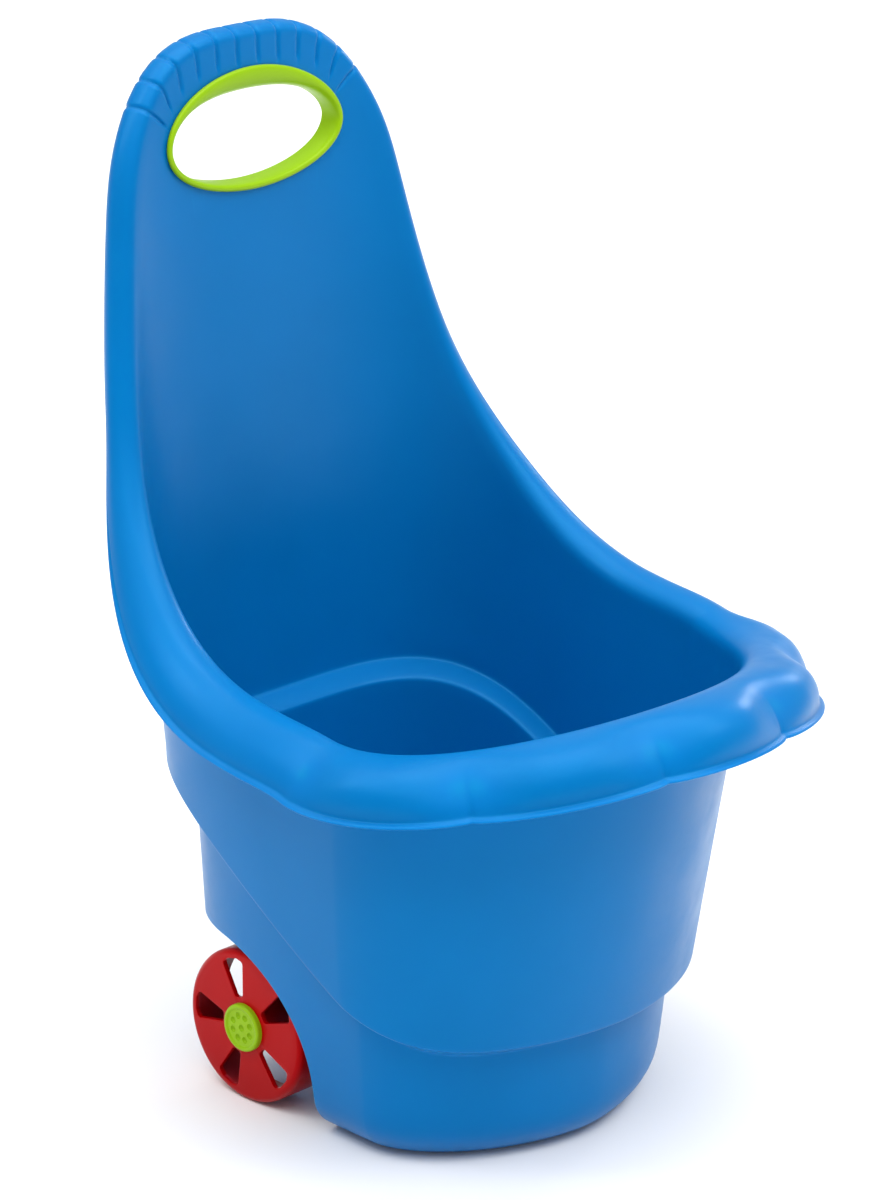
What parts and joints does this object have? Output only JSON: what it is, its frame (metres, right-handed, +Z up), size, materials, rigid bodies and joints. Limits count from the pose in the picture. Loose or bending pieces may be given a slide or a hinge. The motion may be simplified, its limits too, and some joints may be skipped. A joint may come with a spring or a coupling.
{
  "type": "garden cart",
  "caption": "Child's plastic garden cart: ledged bucket with a rolled rim, tall back with a lined hand hole, and two wheels at the rear on a steel axle.",
  "frame": {"origin": "on the floor, under the centre of the cart's bounding box", "axes": "+Z up, the front of the bucket towards -Y, the tall back and hand hole towards +Y, the axle along X"},
  "size_m": [0.384, 0.4199, 0.6074],
  "materials": {
    "tub": "moulded polypropylene, satin gloss, mid blue",
    "ring": "moulded polypropylene, satin gloss, lime green",
    "wheel": "moulded polypropylene, satin gloss, red",
    "cap": "moulded polypropylene, satin gloss, lime green",
    "spacer": "plain pale plastic washer",
    "steel": "drawn and zinc plated steel"
  },
  "bodies": {
    "cart": {"tub": "tub", "grip_ring": "ring", "grip_lock_ring": "ring", "axle": "steel", "spacer_left": "spacer", "spacer_right": "spacer", "push_nut_left": "steel", "push_nut_right": "steel"},
    "left_wheel": {"wheel_left": "wheel", "hub_cap_left": "cap"},
    "right_wheel": {"wheel_right": "wheel", "hub_cap_right": "cap"}
  },
  "joints": [
    {"name": "left_wheel_spin", "type": "hinge", "parent": "cart", "child": "left_wheel", "pos_m": [-0.1, 0.06491, 0.0475], "axis": [1, 0, 0], "continuous": true},
    {"name": "right_wheel_spin", "type": "hinge", "parent": "cart", "child": "right_wheel", "pos_m": [0.1, 0.06491, 0.0475], "axis": [1, 0, 0], "continuous": true}
  ]
}
